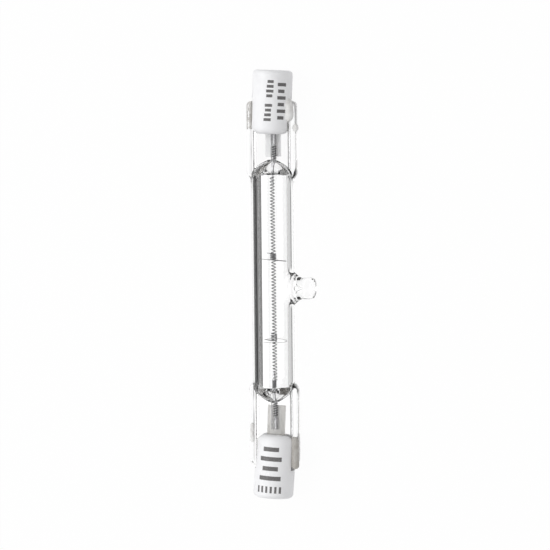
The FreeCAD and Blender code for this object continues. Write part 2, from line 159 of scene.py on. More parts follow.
class Bench:
    """Modelling steps in edit mode and with modifiers, as by hand."""

    doubles = 0.0005

    @staticmethod
    def only(obj: Object) -> None:
        """Select one object alone and make it active.

        Args:
            obj: the object.
        """
        bpy.ops.object.select_all(action="DESELECT")
        obj.select_set(True)
        bpy.context.view_layer.objects.active = obj

    @classmethod
    def added(cls, name: str) -> Object:
        """Name the object that was just added, and put its place, turn and scale into its mesh.

        Args:
            name: the name for it and its mesh.

        Returns:
            The object.
        """
        obj = bpy.context.object
        obj.name = name
        obj.data.name = name
        cls.only(obj)
        bpy.ops.object.transform_apply(location=True, rotation=True, scale=True)
        return obj

    @classmethod
    def cylinder(cls, name: str, radius: float, low: float, high: float, sides: int, axis: str = "Y",
                 place: Pair = (0.0, 0.0)) -> Object:
        """Add a cylinder along Y or X.

        Args:
            name: the object's name.
            radius: its radius.
            low: where it starts along its axis.
            high: where it ends.
            sides: how many sides it has.
            axis: Y or X.
            place: where its axis lies, as X and Z on a Y cylinder, or Y and Z on an X cylinder.

        Returns:
            The new object, with its place in its mesh.
        """
        turn = (-QUARTER_TURN, 0, 0) if axis == "Y" else (0, QUARTER_TURN, 0)
        middle = (low + high) / 2
        centre = (place[0], middle, place[1]) if axis == "Y" else (middle, place[0], place[1])
        bpy.ops.mesh.primitive_cylinder_add(vertices=sides, radius=radius, depth=high - low,
                                            location=centre, rotation=turn)
        return cls.added(name)

    @classmethod
    def circle(cls, name: str, radius: float, sides: int, place: Place, fill: str) -> Object:
        """Add a circle in the XY plane, filled with NGON or left open with NOTHING."""
        bpy.ops.mesh.primitive_circle_add(vertices=sides, radius=radius, fill_type=fill, location=place)
        return cls.added(name)

    @classmethod
    def box(cls, name: str, low: Place, high: Place) -> Object:
        """Add a box.

        Args:
            name: the object's name.
            low: its lowest corner.
            high: its highest corner.

        Returns:
            The new object, with its place in its mesh.
        """
        bpy.ops.mesh.primitive_cube_add(size=1, location=(Vector(low) + Vector(high)) / 2)
        bpy.context.object.scale = Vector(high) - Vector(low)
        return cls.added(name)

    @classmethod
    def edit(cls, obj: Object, *steps: Callable[[], object], first: str = "SELECT") -> None:
        """Run some steps in edit mode.

        Args:
            obj: the object to edit.
            steps: what to do, in order.
            first: SELECT to start with the whole mesh selected, or DESELECT with nothing.
        """
        cls.only(obj)
        bpy.ops.object.mode_set(mode="EDIT")
        bpy.ops.mesh.select_all(action=first)
        for step in steps:
            step()
        bpy.ops.object.mode_set(mode="OBJECT")

    @classmethod
    def pick_edges(cls, obj: Object, wanted: Callable[[Vector, Vector], bool]) -> None:
        """Select edges in edit mode.

        Args:
            obj: the object in edit mode.
            wanted: the test that the two ends of an edge have to pass.
        """
        mesh = bmesh.from_edit_mesh(obj.data)
        for edge in mesh.edges:
            if wanted(edge.verts[0].co, edge.verts[1].co):
                edge.select_set(True)
        bmesh.update_edit_mesh(obj.data)

    @classmethod
    def modify(cls, obj: Object, kind: str, **settings: object) -> None:
        """Add one modifier and apply it.

        Args:
            obj: the object to change.
            kind: the modifier's type.
            settings: its properties.
        """
        cls.only(obj)
        modifier = obj.modifiers.new(kind.lower(), kind)
        for key, value in settings.items():
            setattr(modifier, key, value)
        bpy.ops.object.modifier_apply(modifier=modifier.name)

    @classmethod
    def combine(cls, obj: Object, tool: Object, operation: str) -> None:
        """Join, cut or cross an object with another, which is used up."""
        cls.modify(obj, "BOOLEAN", operation=operation, object=tool, solver="EXACT")
        bpy.data.objects.remove(tool, do_unlink=True)

    @classmethod
    def merge(cls, obj: Object, *others: Object) -> None:
        """Make several objects one, each keeping its own shell.

        Args:
            obj: the object that stays.
            others: the objects that go into it.
        """
        cls.only(obj)
        for other in others:
            other.select_set(True)
        bpy.ops.object.join()

    @classmethod
    def reshape(cls, obj: Object, move: Callable[[Vector], Vector]) -> None:
        """Move every vertex by a rule.

        Args:
            obj: the object to change.
            move: the rule, from the old place to the new one.
        """
        for vertex in obj.data.vertices:
            vertex.co = move(vertex.co)
        obj.data.update()

    @classmethod
    def outward(cls, obj: Object) -> None:
        """Merge doubles and turn all faces outwards."""
        cls.edit(obj, lambda: bpy.ops.mesh.remove_doubles(threshold=cls.doubles),
                 lambda: bpy.ops.mesh.normals_make_consistent(inside=False))

    @classmethod
    def turned(cls, name: str, outline: Outline, steps: int, axis: str = "Y",
               along: float = 0.0) -> Object:
        """Spin an outline into a closed body.

        Args:
            name: the object's name.
            outline: points as distance along the axis and distance from it, from pole to pole.
            steps: how many sides the body has.
            axis: Y or X, the axis to spin about.
            along: where an X axis lies along Y.

        Returns:
            The closed body, with its faces outwards.
        """
        points = [(r, y, 0) if axis == "Y" else (y, along + r, 0) for y, r in outline]
        mesh = bpy.data.meshes.new(name)
        mesh.from_pydata(points, [(i, i + 1) for i in range(len(points) - 1)], [])
        obj = bpy.data.objects.new(name, mesh)
        bpy.context.collection.objects.link(obj)
        centre = (0, 0, 0) if axis == "Y" else (0, along, 0)
        direction = (0, 1, 0) if axis == "Y" else (1, 0, 0)
        cls.edit(obj, lambda: bpy.ops.mesh.spin(steps=steps, angle=FULL_TURN, center=centre, axis=direction))
        cls.outward(obj)
        return obj

    @staticmethod
    def dress(obj: Object, material: bpy.types.Material) -> None:
        """Give an object one material in place of any that it has."""
        obj.data.materials.clear()
        obj.data.materials.append(material)


class Value:
    """A number in a material, so that shader maths reads as plain sums."""

    def __init__(self, tree: NodeTree, socket: NodeSocket) -> None:
        """Wrap a socket of a node tree."""
        self.tree = tree
        self.socket = socket

    def _math(self, operation: str, *inputs: "Value | float") -> "Value":
        """Add a Math node.

        Args:
            operation: what it works out.
            inputs: its numbers or links, in order.

        Returns:
            Its result.
        """
        node = self.tree.nodes.new("ShaderNodeMath")
        node.operation = operation
        for index, item in enumerate(inputs):
            if isinstance(item, Value):
                self.tree.links.new(item.socket, node.inputs[index])
            else:
                node.inputs[index].default_value = item
        return Value(self.tree, node.outputs[0])

    def __add__(self, other: "Value | float") -> "Value":
        """This plus the other."""
        return self._math("ADD", self, other)

    def __radd__(self, other: float) -> "Value":
        """A number plus this."""
        return self._math("ADD", other, self)

    def __sub__(self, other: "Value | float") -> "Value":
        """This less the other."""
        return self._math("SUBTRACT", self, other)

    def __rsub__(self, other: float) -> "Value":
        """A number less this."""
        return self._math("SUBTRACT", other, self)

    def __mul__(self, other: "Value | float") -> "Value":
        """This times the other."""
        return self._math("MULTIPLY", self, other)

    def __rmul__(self, other: float) -> "Value":
        """A number times this."""
        return self._math("MULTIPLY", other, self)

    def __abs__(self) -> "Value":
        """This without its sign."""
        return self._math("ABSOLUTE", self)

    def larger(self, other: "Value | float") -> "Value":
        """The larger of the two."""
        return self._math("MAXIMUM", self, other)

    def smaller(self, other: "Value | float") -> "Value":
        """The smaller of the two."""
        return self._math("MINIMUM", self, other)

    def angle_over(self, other: "Value") -> "Value":
        """The angle whose tangent is this over the other."""
        return self._math("ARCTAN2", self, other)

    def step(self, low: float, high: float) -> "Value":
        """A soft step from zero to one.

        Args:
            low: where it is zero.
            high: where it is one, which may be less than low.

        Returns:
            The step.
        """
        node = self.tree.nodes.new("ShaderNodeMapRange")
        node.interpolation_type = "SMOOTHSTEP"
        self.tree.links.new(self.socket, node.inputs["Value"])
        node.inputs["From Min"].default_value = low
        node.inputs["From Max"].default_value = high
        return Value(self.tree, node.outputs[0])


class Material:
    """A material under construction, with short ways to add nodes."""

    def __init__(self, name: str, matrix: Matrix) -> None:
        """Start a material with one main shader.

        Args:
            name: its name.
            matrix: from the axes and millimetres that it is designed in to the frame.
        """
        self.matrix = matrix
        self.material = bpy.data.materials.new(name)
        self.material.use_nodes = True
        self.tree = self.material.node_tree
        self.shader = self.tree.nodes["Principled BSDF"]
        self.output = self.tree.nodes["Material Output"]

    def node(self, kind: str, settings: dict | None = None, **inputs: object) -> Node:
        """Add a node.

        Args:
            kind: the node's type.
            settings: its properties, set first.
            inputs: sockets by name with underscores for spaces, each a value or a link.

        Returns:
            The node.
        """
        node = self.tree.nodes.new(kind)
        for key, value in (settings or {}).items():
            setattr(node, key, value)
        for key, value in inputs.items():
            self.feed(node.inputs[key.replace("_", " ")], value)
        return node

    def feed(self, socket: NodeSocket, value: object) -> None:
        """Give a socket a value or a link.

        Args:
            socket: the socket.
            value: a number, a colour, a vector, a Value or another socket.
        """
        if isinstance(value, Value):
            self.tree.links.new(value.socket, socket)
        elif isinstance(value, NodeSocket):
            self.tree.links.new(value, socket)
        elif isinstance(value, tuple) and len(value) == 3 and socket.type == "RGBA":
            socket.default_value = (*value, 1.0)
        else:
            socket.default_value = value

    def set(self, **inputs: object) -> None:
        """Give the main shader's sockets values or links."""
        for key, value in inputs.items():
            self.feed(self.shader.inputs[key.replace("_", " ")], value)

    def value(self, socket: NodeSocket) -> Value:
        """Wrap a socket for maths."""
        return Value(self.tree, socket)

    @cached_property
    def places(self) -> NodeSocket:
        """Object coordinates in the design's own axes and millimetres.

        Returns:
            The coordinates as a vector.
        """
        coords = self.node("ShaderNodeTexCoord").outputs["Object"]
        place, turn, scale = self.matrix.inverted().decompose()
        return self.node(
            "ShaderNodeMapping", {"vector_type": "POINT"}, Vector=coords, Location=tuple(place),
            Rotation=tuple(turn.to_euler()), Scale=tuple(scale)).outputs["Vector"]

    def parts(self) -> tuple[Value, Value, Value]:
        """X, Y and Z in the design's own axes."""
        node = self.node("ShaderNodeSeparateXYZ", Vector=self.places)
        return tuple(self.value(socket) for socket in node.outputs)

    def noise(self, scale: float, detail: float = 2.0, rough: float = 0.5) -> Value:
        """A cloud pattern between zero and one."""
        node = self.node("ShaderNodeTexNoise", Vector=self.places, Scale=scale, Detail=detail,
                         Roughness=rough)
        return self.value(node.outputs["Fac"])

    def blend(self, share: Value | float, first: object, second: object) -> NodeSocket:
        """Mix two colours.

        Args:
            share: how much of the second there is.
            first: a colour or a link.
            second: a colour or a link.

        Returns:
            The mixed colour.
        """
        node = self.node("ShaderNodeMix", {"data_type": "RGBA"})
        self.feed(node.inputs["Factor"], share)
        colours = [socket for socket in node.inputs if socket.type == "RGBA"]
        self.feed(colours[0], first)
        self.feed(colours[1], second)
        return next(socket for socket in node.outputs if socket.type == "RGBA")

    def bump(self, height: Value, depth: float, strength: float = 1.0) -> NodeSocket:
        """A surface normal from a height, with its depth in metres."""
        node = self.node("ShaderNodeBump", Height=height, Distance=depth, Strength=strength)
        return node.outputs["Normal"]

    def mix_out(self, share: Value, other: Node) -> None:
        """Send out a mix of the main shader and another one.

        Args:
            share: how much of the other there is.
            other: the other shader.
        """
        mixed = self.node("ShaderNodeMixShader")
        for socket, item in zip(mixed.inputs, (share, self.shader.outputs[0], other.outputs[0])):
            self.feed(socket, item)
        self.feed(self.output.inputs["Surface"], mixed.outputs[0])


class Finish:
    """The design of one material."""

    def fill(self, made: Material) -> None:
        """Set the main shader and add what feeds it.

        Args:
            made: the material, in the axes that it is designed in.
        """
        raise NotImplementedError

    def make(self, name: str, matrix: Matrix) -> bpy.types.Material:
        """Build the material.

        Args:
            name: its name.
            matrix: from the axes and millimetres that it is designed in to the frame.

        Returns:
            The material.
        """
        made = Material(name, matrix)
        self.fill(made)
        return made.material


@dataclass(frozen=True)
class InkMark:
    """One plain printed bar: where it is on the cap and how large, in millimetres."""

    around: float
    along: float
    wide: float
    tall: float


@dataclass(frozen=True)
class CeramicFinish(Finish):
    """Matt white ceramic with plain dark bars printed on it, which lie on the cap's radius."""

    radius: float
    marks: list[InkMark]
    colour: Colour = (0.915, 0.915, 0.928)
    shade: Colour = (0.85, 0.848, 0.862)
    ink: Colour = (0.1, 0.095, 0.095)
    roughness: float = 0.42
    ragged: float = 0.12
    soft: float = 0.03
    ink_least: float = 0.62
    ink_more: float = 0.35
    bump_depth: float = 0.00004

    def within(self, place: Value, middle: float, width: float, edge: Value) -> Value:
        """One within a bar's width, softly down to zero at its ragged edges."""
        half = width / 2
        return (abs(place - middle) + edge).step(half + self.soft, half - self.soft)

    def fill(self, made: Material) -> None:
        """Cloud the white, add its pores and print the bars."""
        x, y, z = made.parts()
        around = x.angle_over(z) * self.radius
        edge = (made.noise(scale=9.0, detail=3.0) - 0.5) * self.ragged
        printed, *others = [self.within(around, mark.around, mark.wide, edge)
                            * self.within(y, mark.along, mark.tall, edge) for mark in self.marks]
        for bar in others:
            printed = printed.larger(bar)
        worn = made.noise(scale=14.0, detail=4.0, rough=0.65).step(0.28, 0.5)
        cloud = made.noise(scale=0.55, detail=3.0)
        pores = made.noise(scale=7.0, detail=3.0, rough=0.6)
        base = made.blend(cloud.step(0.45, 0.8) * 0.5, self.colour, self.shade)
        base = made.blend(pores.step(0.68, 0.8) * 0.35, base, self.shade)
        made.set(
            Base_Color=made.blend(printed * (worn * self.ink_more + self.ink_least), base, self.ink),
            Roughness=self.roughness,
            Specular_IOR_Level=0.35,
            Normal=made.bump(pores + cloud * 0.5, self.bump_depth, strength=0.5),
        )


@dataclass(frozen=True)
class CementFinish(Finish):
    """Grainy grey-white cement, duller on the side where X is negative."""

    dull_share: float
    pale: Colour = (0.9, 0.895, 0.885)
    dull: Colour = (0.47, 0.45, 0.42)
    patchy: float = 0.35
    side: float = 0.6
    bump_depth: float = 0.00008

    def fill(self, made: Material) -> None:
        """Shade the cement from side to side and in patches, and add its grain."""
        x, _, _ = made.parts()
        patches = made.noise(scale=0.7, detail=3.0, rough=0.55).step(0.4, 0.7) * self.patchy
        grain = made.noise(scale=6.0, detail=5.0, rough=0.7)
        share = (x.step(self.side, -self.side) * self.dull_share + patches).smaller(1.0)
        made.set(
            Base_Color=made.blend(share, self.pale, self.dull),
            Roughness=0.85,
            Specular_IOR_Level=0.2,
            Normal=made.bump(grain, self.bump_depth, strength=0.8),
        )


@dataclass(frozen=True)
class QuartzFinish(Finish):
    """Clear fused quartz, which lets the lights through to what it holds."""

    ior: float = 1.458
    tint: Colour = (1.0, 1.0, 1.0)
    shadow: Colour = (0.93, 0.94, 0.94)

    def fill(self, made: Material) -> None:
        """Set the glass, and its shadow."""
        made.set(Base_Color=self.tint, Roughness=0.0, IOR=self.ior, Transmission_Weight=1.0)
        path = made.node("ShaderNodeLightPath")
        clear = made.node("ShaderNodeBsdfTransparent", Color=self.shadow)
        made.mix_out(made.value(path.outputs["Is Shadow Ray"]), clear)


@dataclass(frozen=True)
class MetalFinish(Finish):
    """A bare metal with faint drawing marks and spots."""

    colour: Colour
    dark: Colour
    roughness: float
    metallic: float = 1.0
    bump_depth: float = 0.00001

    def fill(self, made: Material) -> None:
        """Spot the metal and mark its surface."""
        tone = made.noise(scale=2.2, detail=3.0, rough=0.6)
        marks = made.noise(scale=18.0)
        made.set(
            Base_Color=made.blend(tone.step(0.35, 0.7), self.colour, self.dark),
            Metallic=self.metallic,
            Roughness=tone * 0.15 + self.roughness,
            Normal=made.bump(marks, self.bump_depth, strength=0.4),
        )


TUNGSTEN = MetalFinish((0.09, 0.09, 0.095), (0.05, 0.05, 0.055), 0.45, 0.3)
MOLYBDENUM = MetalFinish((0.5, 0.5, 0.5), (0.34, 0.33, 0.33), 0.32, 0.9)
LEAD = MetalFinish((0.62, 0.62, 0.63), (0.4, 0.4, 0.41), 0.3, 0.9)
CONTACT = MetalFinish((0.66, 0.64, 0.6), (0.52, 0.5, 0.46), 0.3, 1.0)


@dataclass(frozen=True)
class FoilFinish(Finish):
    """Thin foil whose colour is a painted reflection of the pale surround: bright in its middle and a little
    darker along its edges.
    """

    # Colours of the painted reflection in the foil's middle and along its edges.
    middle: Colour
    edge: Colour
    half: float
    shift: float
    edge_from: float = 0.5
    edge_to: float = 0.72

    def fill(self, made: Material) -> None:
        """Shade the foil's painted reflection from its middle to its edges."""
        x, _, _ = made.parts()
        beside = abs(x - self.shift).step(self.half * self.edge_from, self.half * self.edge_to)
        made.set(Base_Color=made.blend(beside, self.middle, self.edge), Roughness=0.5,
                 Specular_IOR_Level=0.3)


class Piece:
    """One piece of the lamp, which is shaped in its own axes and then laid down."""

    name: str
    finish: Finish = TUNGSTEN
    smooth_up_to: float = 60.0

    def shape(self) -> Object:
        """Model the piece.

        Returns:
            The piece in its own axes.
        """
        raise NotImplementedError

    def matrix(self, lay: Lay) -> Matrix:
        """From the piece's own axes to the frame."""
        return lay.matrix

    def finish_matrix(self, lay: Lay) -> Matrix:
        """From the axes that the finish is designed in to the frame."""
        return self.matrix(lay)

    def build(self, lay: Lay) -> Object:
        """Make the piece.

        Args:
            lay: how the lamp lies.

        Returns:
            The piece, shaded smooth, laid down in the frame and dressed.
        """
        obj = self.shape()
        Bench.only(obj)
        bpy.ops.object.shade_smooth_by_angle(angle=math.radians(self.smooth_up_to))
        obj.data.transform(self.matrix(lay))
        obj.data.update()
        Bench.dress(obj, self.finish.make(self.name, self.finish_matrix(lay)))
        return obj


@dataclass(frozen=True)
class Pressing:
    """One pinched end of the tube: where its round part and its glass end, and how its edge bows."""

    seal: float
    glass: float
    bow: float


@dataclass(frozen=True)
class Spacing:
    """How far apart the rings of the glass lie, on its stretches along the tube."""

    tube: float = 0.8
    tube_until: float = 1.8
    pressed: float = 0.1
    flat: float = 0.4
    flat_after: float = 0.2
    corner: float = 0.07
    corner_before: float = 0.1
    hollow_end: float = 0.05
    hollow_last: float = 0.5
    least: float = 0.012


@dataclass
class QuartzEnvelope(Piece):
    """The blown tube with its exhaust tip and its two pressed ends."""

    ends: dict[float, Pressing]
    spacing: Spacing = Spacing()
    radius: float = 3.9
    bore: float = 2.75
    half: float = 4.5
    flange: float = 1.6
    web: float = 1.2
    web_to: float = 3.05
    flange_from: float = 3.3
    chamfer: float = 1.15
    chamfer_sooner: Pair = (0.15, -0.2)
    shoulder: float = 2.6
    shoulder_end: float = 1.0
    swell: float = 0.62
    merging: float = 0.3
    crossing: float = 0.12
    hollow_from: float = -0.3
    hollow_to: float = 1.8
    hollow_end: float = 0.1
    corner: float = 0.9
    edge: float = 0.5
    ripple: float = 0.02
    sides: int = 168
    hollow_sides: int = 112
    tip: float = -0.75
    tip_root: tuple[Pair, ...] = ((1.4, 0.0), (1.4, 1.6), (3.0, 2.9))
    tip_sunk: float = 0.03
    tip_fit_from: float = 0.1
    tip_flare: float = 1.6
    tip_spread: float = 1.1
    tip_curve: float = 1.6
    tip_radius: float = 1.93
    tip_knob: tuple[Pair, ...] = ((6.2, 1.94), (6.75, 1.97))
    crown_from: float = 6.86
    crown_rise: float = 1.09
    crown_round: float = 1.1
    crown_flat: float = 0.86
    melted: Pair = (5.6, 6.6)
    tip_hollow: tuple[Pair, ...] = (
        (1.7, 0.0), (1.7, 3.0), (2.68, 2.95), (2.86, 2.74), (3.2, 2.55), (3.6, 2.4), (3.84, 2.1),
        (3.95, 1.6), (3.98, 0.8), (4.3, 0.42), (4.9, 0.2), (5.4, 0.08), (5.5, 0.0))
    hollow_squash: float = 0.75
    name = "quartz_glass"
    finish = QuartzFinish()
    smooth_up_to = 32.0

    def flat(self, x: float, half: float) -> float:
        """Half the thickness of the pressed flat.

        Args:
            x: the place across it.
            half: half its width there.

        Returns:
            Half the thickness.
        """
        across = abs(x)
        side = ramp(across, self.web_to, self.flange_from)
        thick = self.web + (self.flange - self.web) * side
        past = across - (half - self.edge)
        if past > 0:
            thick -= self.edge - arc(self.edge, min(past, self.edge))
        return thick

    def shoulder_radius(self, beyond: float) -> float:
        """The radius of the tapering shoulder.

        Args:
            beyond: the distance beyond the seal.

        Returns:
            The radius, or zero past the shoulder's end.
        """
        share = max(0.0, beyond) / self.shoulder
        if share >= 1:
            return 0.0
        swell = self.swell * math.sin(math.pi * share) * (1 - share)
        return self.radius + (self.shoulder_end - self.radius) * share + swell

    def outer(self, place: Vector) -> Vector:
        """Press one point of a plain bar of unit radius to the outside of the glass.

        Args:
            place: the point on the bar.

        Returns:
            The point on the glass.
        """
        end = self.ends[math.copysign(1.0, place.y)]
        beyond = abs(place.y) - end.seal
        to_end = max(0.0, end.glass - abs(place.y))
        sooner = self.chamfer_sooner[0 if place.x * place.y > 0 else 1]
        half = self.radius + (self.half - self.radius) * ramp(beyond + sooner, -self.chamfer, 0.0)
        x = half * place.x
        z = arc(self.shoulder_radius(beyond + end.bow * place.x ** 2), x)
        if beyond > -self.chamfer - self.merging:
            narrow = ramp(beyond, -self.chamfer - self.merging, -self.chamfer + self.merging)
            z = soft_max(z, self.flat(x, half) * narrow, self.crossing)
        if abs(place.z) < 1e-6:
            z = 0.0
        if to_end < self.corner:
            x *= 1 - (self.corner - arc(self.corner, self.corner - to_end)) / self.half
        if to_end < self.edge:
            z *= 1 - (self.edge - arc(self.edge, self.edge - to_end)) / self.flange
        if beyond > 0:
            wave = noise.noise(Vector((x * 0.6, place.y * 0.5, place.z * 2.0)))
            z += self.ripple * wave * min(1.0, abs(place.z) * 20)
        return Vector((x, place.y, math.copysign(z, place.z)))

    def inner(self, place: Vector) -> Vector:
        """Press one point of a plain bar of unit radius to the inside of the glass.

        Args:
            place: the point on the bar.

        Returns:
            The point on the glass.
        """
        end = self.ends[math.copysign(1.0, place.y)]
        beyond = abs(place.y) - end.seal + end.bow * place.x ** 2 * place.z ** 2
        share = straight_ramp(beyond, self.hollow_from, self.hollow_to)
        rho = self.bore * (1 - share) + self.hollow_end * share
        return Vector((rho * place.x, place.y, rho * place.z))

    def stations(self, side: float, hollow: bool) -> list[float]:
        """Where the rings lie along one half, closest where the glass is pressed.

        Args:
            side: 1 for the half along +Y, or -1 for the other.
            hollow: whether they are the rings of the inside.

        Returns:
            Distances from the middle, from zero outwards.
        """
        end, gaps = self.ends[side], self.spacing
        stop = end.seal + self.hollow_to if hollow else end.glass
        marks = [0.0]
        while marks[-1] < stop - gaps.least:
            beyond = marks[-1] - end.seal
            left = stop - marks[-1]
            step = gaps.tube if beyond < -gaps.tube_until else gaps.pressed
            if not hollow and beyond > self.shoulder + gaps.flat_after:
                step = gaps.flat
            if not hollow and left < self.corner + gaps.corner_before:
                step = gaps.corner
            if hollow and left < gaps.hollow_last:
                step = gaps.hollow_end
            marks.append(min(stop, marks[-1] + step))
        return marks

    def skin(self, name: str, hollow: bool) -> Object:
        """Make one closed skin from a bar with rings along it.

        Args:
            name: the object's name.
            hollow: whether it is the inside of the glass.

        Returns:
            The skin in the lamp's own axes.
        """
        lower = self.stations(-1.0, hollow)
        marks = [-mark for mark in reversed(lower[1:])] + self.stations(1.0, hollow)
        last = len(marks) - 1
        obj = Bench.cylinder(name, 1.0, 0.0, 1.0, self.hollow_sides if hollow else self.sides)
        Bench.edit(obj, lambda: Bench.pick_edges(obj, lambda a, b: abs(a.y - b.y) > 0.5),
                   lambda: bpy.ops.mesh.subdivide(number_cuts=last - 1), first="DESELECT")
        rule = self.inner if hollow else self.outer
        Bench.reshape(obj, lambda co: rule(Vector((co.x, marks[round(co.y * last)], co.z))))
        return obj

    def tip_outline(self) -> Outline:
        """The tip's section, from inside the tube to the crown's pole.

        Returns:
            Points as distance from the tube's axis and distance from the tip's.
        """
        foot = self.radius - self.tip_sunk
        points = list(self.tip_root)
        for index in range(15):
            out = index / 14
            points.append((foot + self.tip_flare * out,
                           self.tip_radius + self.tip_spread * (1 - out) ** self.tip_curve))
        points += self.tip_knob
        for index in range(1, 13):
            share = index / 12
            turn = share * QUARTER_TURN
            across = self.crown_flat + self.crown_round * math.cos(turn)
            points.append((self.crown_from + self.crown_rise * math.sin(turn),
                           across - self.crown_flat * share ** 3))
        return points

    def fit_outside(self, co: Vector) -> Vector:
        """Lower the tip's foot onto the tube, and melt its crown a little out of round.

        Args:
            co: a point of the tip as it was spun.

        Returns:
            Where it lies.
        """
        foot = 1 - ramp(co.x, self.radius - self.tip_fit_from, self.radius + self.tip_flare)
        lump = 0.08 * noise.noise(co * 0.9) + 0.03 * noise.noise(co * 2.1)
        grow = 1 + ramp(co.x, *self.melted) * lump
        x = co.x - (self.radius - arc(self.radius, co.z)) * foot
        return Vector((x, self.tip + (co.y - self.tip) * grow, co.z * grow))

    def fit_inside(self, co: Vector) -> Vector:
        """Flatten the tip's hollow and bend it round the bore."""
        lift = co.z * self.hollow_squash
        return Vector((co.x - (self.bore - arc(self.bore, lift)), co.y, lift))

    def shape(self) -> Object:
        """Make the glass, with the shell of its hollow turned inside out."""
        glass = self.skin(self.name, False)
        tip = Bench.turned("tip_outside", self.tip_outline(), 72, "X", self.tip)
        Bench.reshape(tip, self.fit_outside)
        hollow = self.skin("hollow", True)
        bulge = Bench.turned("tip_inside", list(self.tip_hollow), 48, "X", self.tip)
        Bench.reshape(bulge, self.fit_inside)
        for body, part in ((glass, tip), (hollow, bulge)):
            Bench.combine(body, part, "UNION")
            Bench.outward(body)
        Bench.edit(hollow, bpy.ops.mesh.flip_normals)
        Bench.merge(glass, hollow)
        return glass


@dataclass(frozen=True)
class WoundWire:
    """A round wire wound about Y."""

    radius: float
    wire: float
    pitch: float
    start: float
    stop: float
    steps: int = 24
    sides: int = 8

    def build(self, name: str, shift: float = 0.0) -> Object:
        """Wind the wire with a screw, and close its two ends.

        Args:
            name: the object's name.
            shift: how far the winding's axis lies from the lamp's along X.

        Returns:
            The winding in its own axes.
        """
        obj = Bench.circle(name, self.wire / 2, self.sides, (self.radius, self.start, 0), "NOTHING")
        turns = max(1, round((self.stop - self.start) / self.pitch))
        Bench.modify(obj, "SCREW", axis="Y", angle=FULL_TURN, screw_offset=(self.stop - self.start) / turns,
                     iterations=turns, steps=self.steps, render_steps=self.steps, use_merge_vertices=False)
        Bench.edit(obj, lambda: bpy.ops.mesh.fill_holes(sides=self.sides),
                   lambda: bpy.ops.mesh.select_all(action="SELECT"),
                   lambda: bpy.ops.mesh.normals_make_consistent(inside=False))
        Bench.reshape(obj, lambda co: Vector((co.x + shift, co.y, co.z)))
        return obj


@dataclass
class Filament(Piece):
    """The long coil that glows, with a slight sag and uneven turns."""

    low: float = -17.5
    high: float = 19.6
    outside: float = 0.88
    wire: float = 0.17
    pitch: float = 0.59
    slant: float = 0.0056
    shift: float = 0.055
    sway: float = 0.04
    sway_rate: float = 0.12
    slip: float = 0.04
    slip_rate: float = 0.9
    name = "filament_coil"

    def unsettle(self, co: Vector) -> Vector:
        """Where one point of the even coil really lies."""
        slip = self.slip * noise.noise(Vector((0, co.y * self.slip_rate, 0)))
        sway = self.shift + self.sway * noise.noise(Vector((7, co.y * self.sway_rate, 0)))
        return Vector((co.x + sway - self.slant * co.y, co.y + slip, co.z))

    def shape(self) -> Object:
        """Wind the filament."""
        winding = WoundWire((self.outside - self.wire) / 2, self.wire, self.pitch, self.low, self.high)
        obj = winding.build(self.name)
        Bench.reshape(obj, self.unsettle)
        return obj


@dataclass
class WireSupport(Piece):
    """A wire wound on the filament, with an arm out to an open ring."""

    name: str
    place: float
    turn: float
    lean: float
    slope: float
    side: float = 1.0
    wire: float = 0.11
    wound_more: float = 0.06
    pitch: float = 0.3
    arm: float = 0.15
    rim: float = 0.065
    ring: float = 2.35
    gap: float = 0.6
    inner: float = 0.46
    length: float = 1.2
    tail: Pair = (-0.2, 1.1)
    sides: int = 8

    def tilt(self, co: Vector) -> Vector:
        """Turn one point about the filament, tilt it and put it in its place."""
        turned = Matrix.Rotation(self.turn, 4, "Y") @ co
        rise = turned.z * math.tan(self.lean) - turned.x * math.tan(self.slope)
        return Vector((turned.x, turned.y + rise + self.place, turned.z))

    def shape(self) -> Object:
        """Bend the wire."""
        middle = self.inner + self.wire / 2
        coil = WoundWire(middle, self.wire + self.wound_more, self.pitch, 0.0, self.length, 28)
        winding = coil.build(self.name)
        ring = Bench.circle("ring", self.rim / 2, self.sides, (self.ring, 0, 0), "NGON")
        Bench.edit(ring, lambda: bpy.ops.mesh.spin(
            steps=64, angle=FULL_TURN - self.gap, center=(0, 0, 0), axis=(0, 1, 0)))
        Bench.outward(ring)
        arm = Bench.cylinder("arm", self.arm / 2, self.inner, self.ring, self.sides, "X")
        low, high = sorted(end * self.side for end in self.tail)
        tail = Bench.cylinder("tail", self.wire / 2, low, high, self.sides, "X", (self.length, middle))
        Bench.merge(winding, ring, arm, tail)
        Bench.reshape(winding, self.tilt)
        return winding


class EndPiece(Piece):
    """A piece that is built along +Y and laid down at one end of the lamp."""

    stem: str
    end: LampEnd

    @property
    def name(self) -> str:
        """The piece's name, with the letter of its end."""
        return self.stem + self.end.label

    def matrix(self, lay: Lay) -> Matrix:
        """From an end built along +Y to the frame."""
        return lay.end(self.end)


@dataclass
class LeadSpiral(EndPiece):
    """The wire wound on one lead in the pinch, and on one end on the last of the filament too."""

    end: LampEnd
    windings: dict[float, WoundWire]
    stem = "spiral_"

    def shape(self) -> Object:
        """Wind the wires, each about its own axis."""
        first, *others = [winding.build(self.name, shift) for shift, winding in self.windings.items()]
        if others:
            Bench.merge(first, *others)
        return first

    def finish_matrix(self, lay: Lay) -> Matrix:
        """From the lamp's own axes to the frame."""
        return lay.matrix


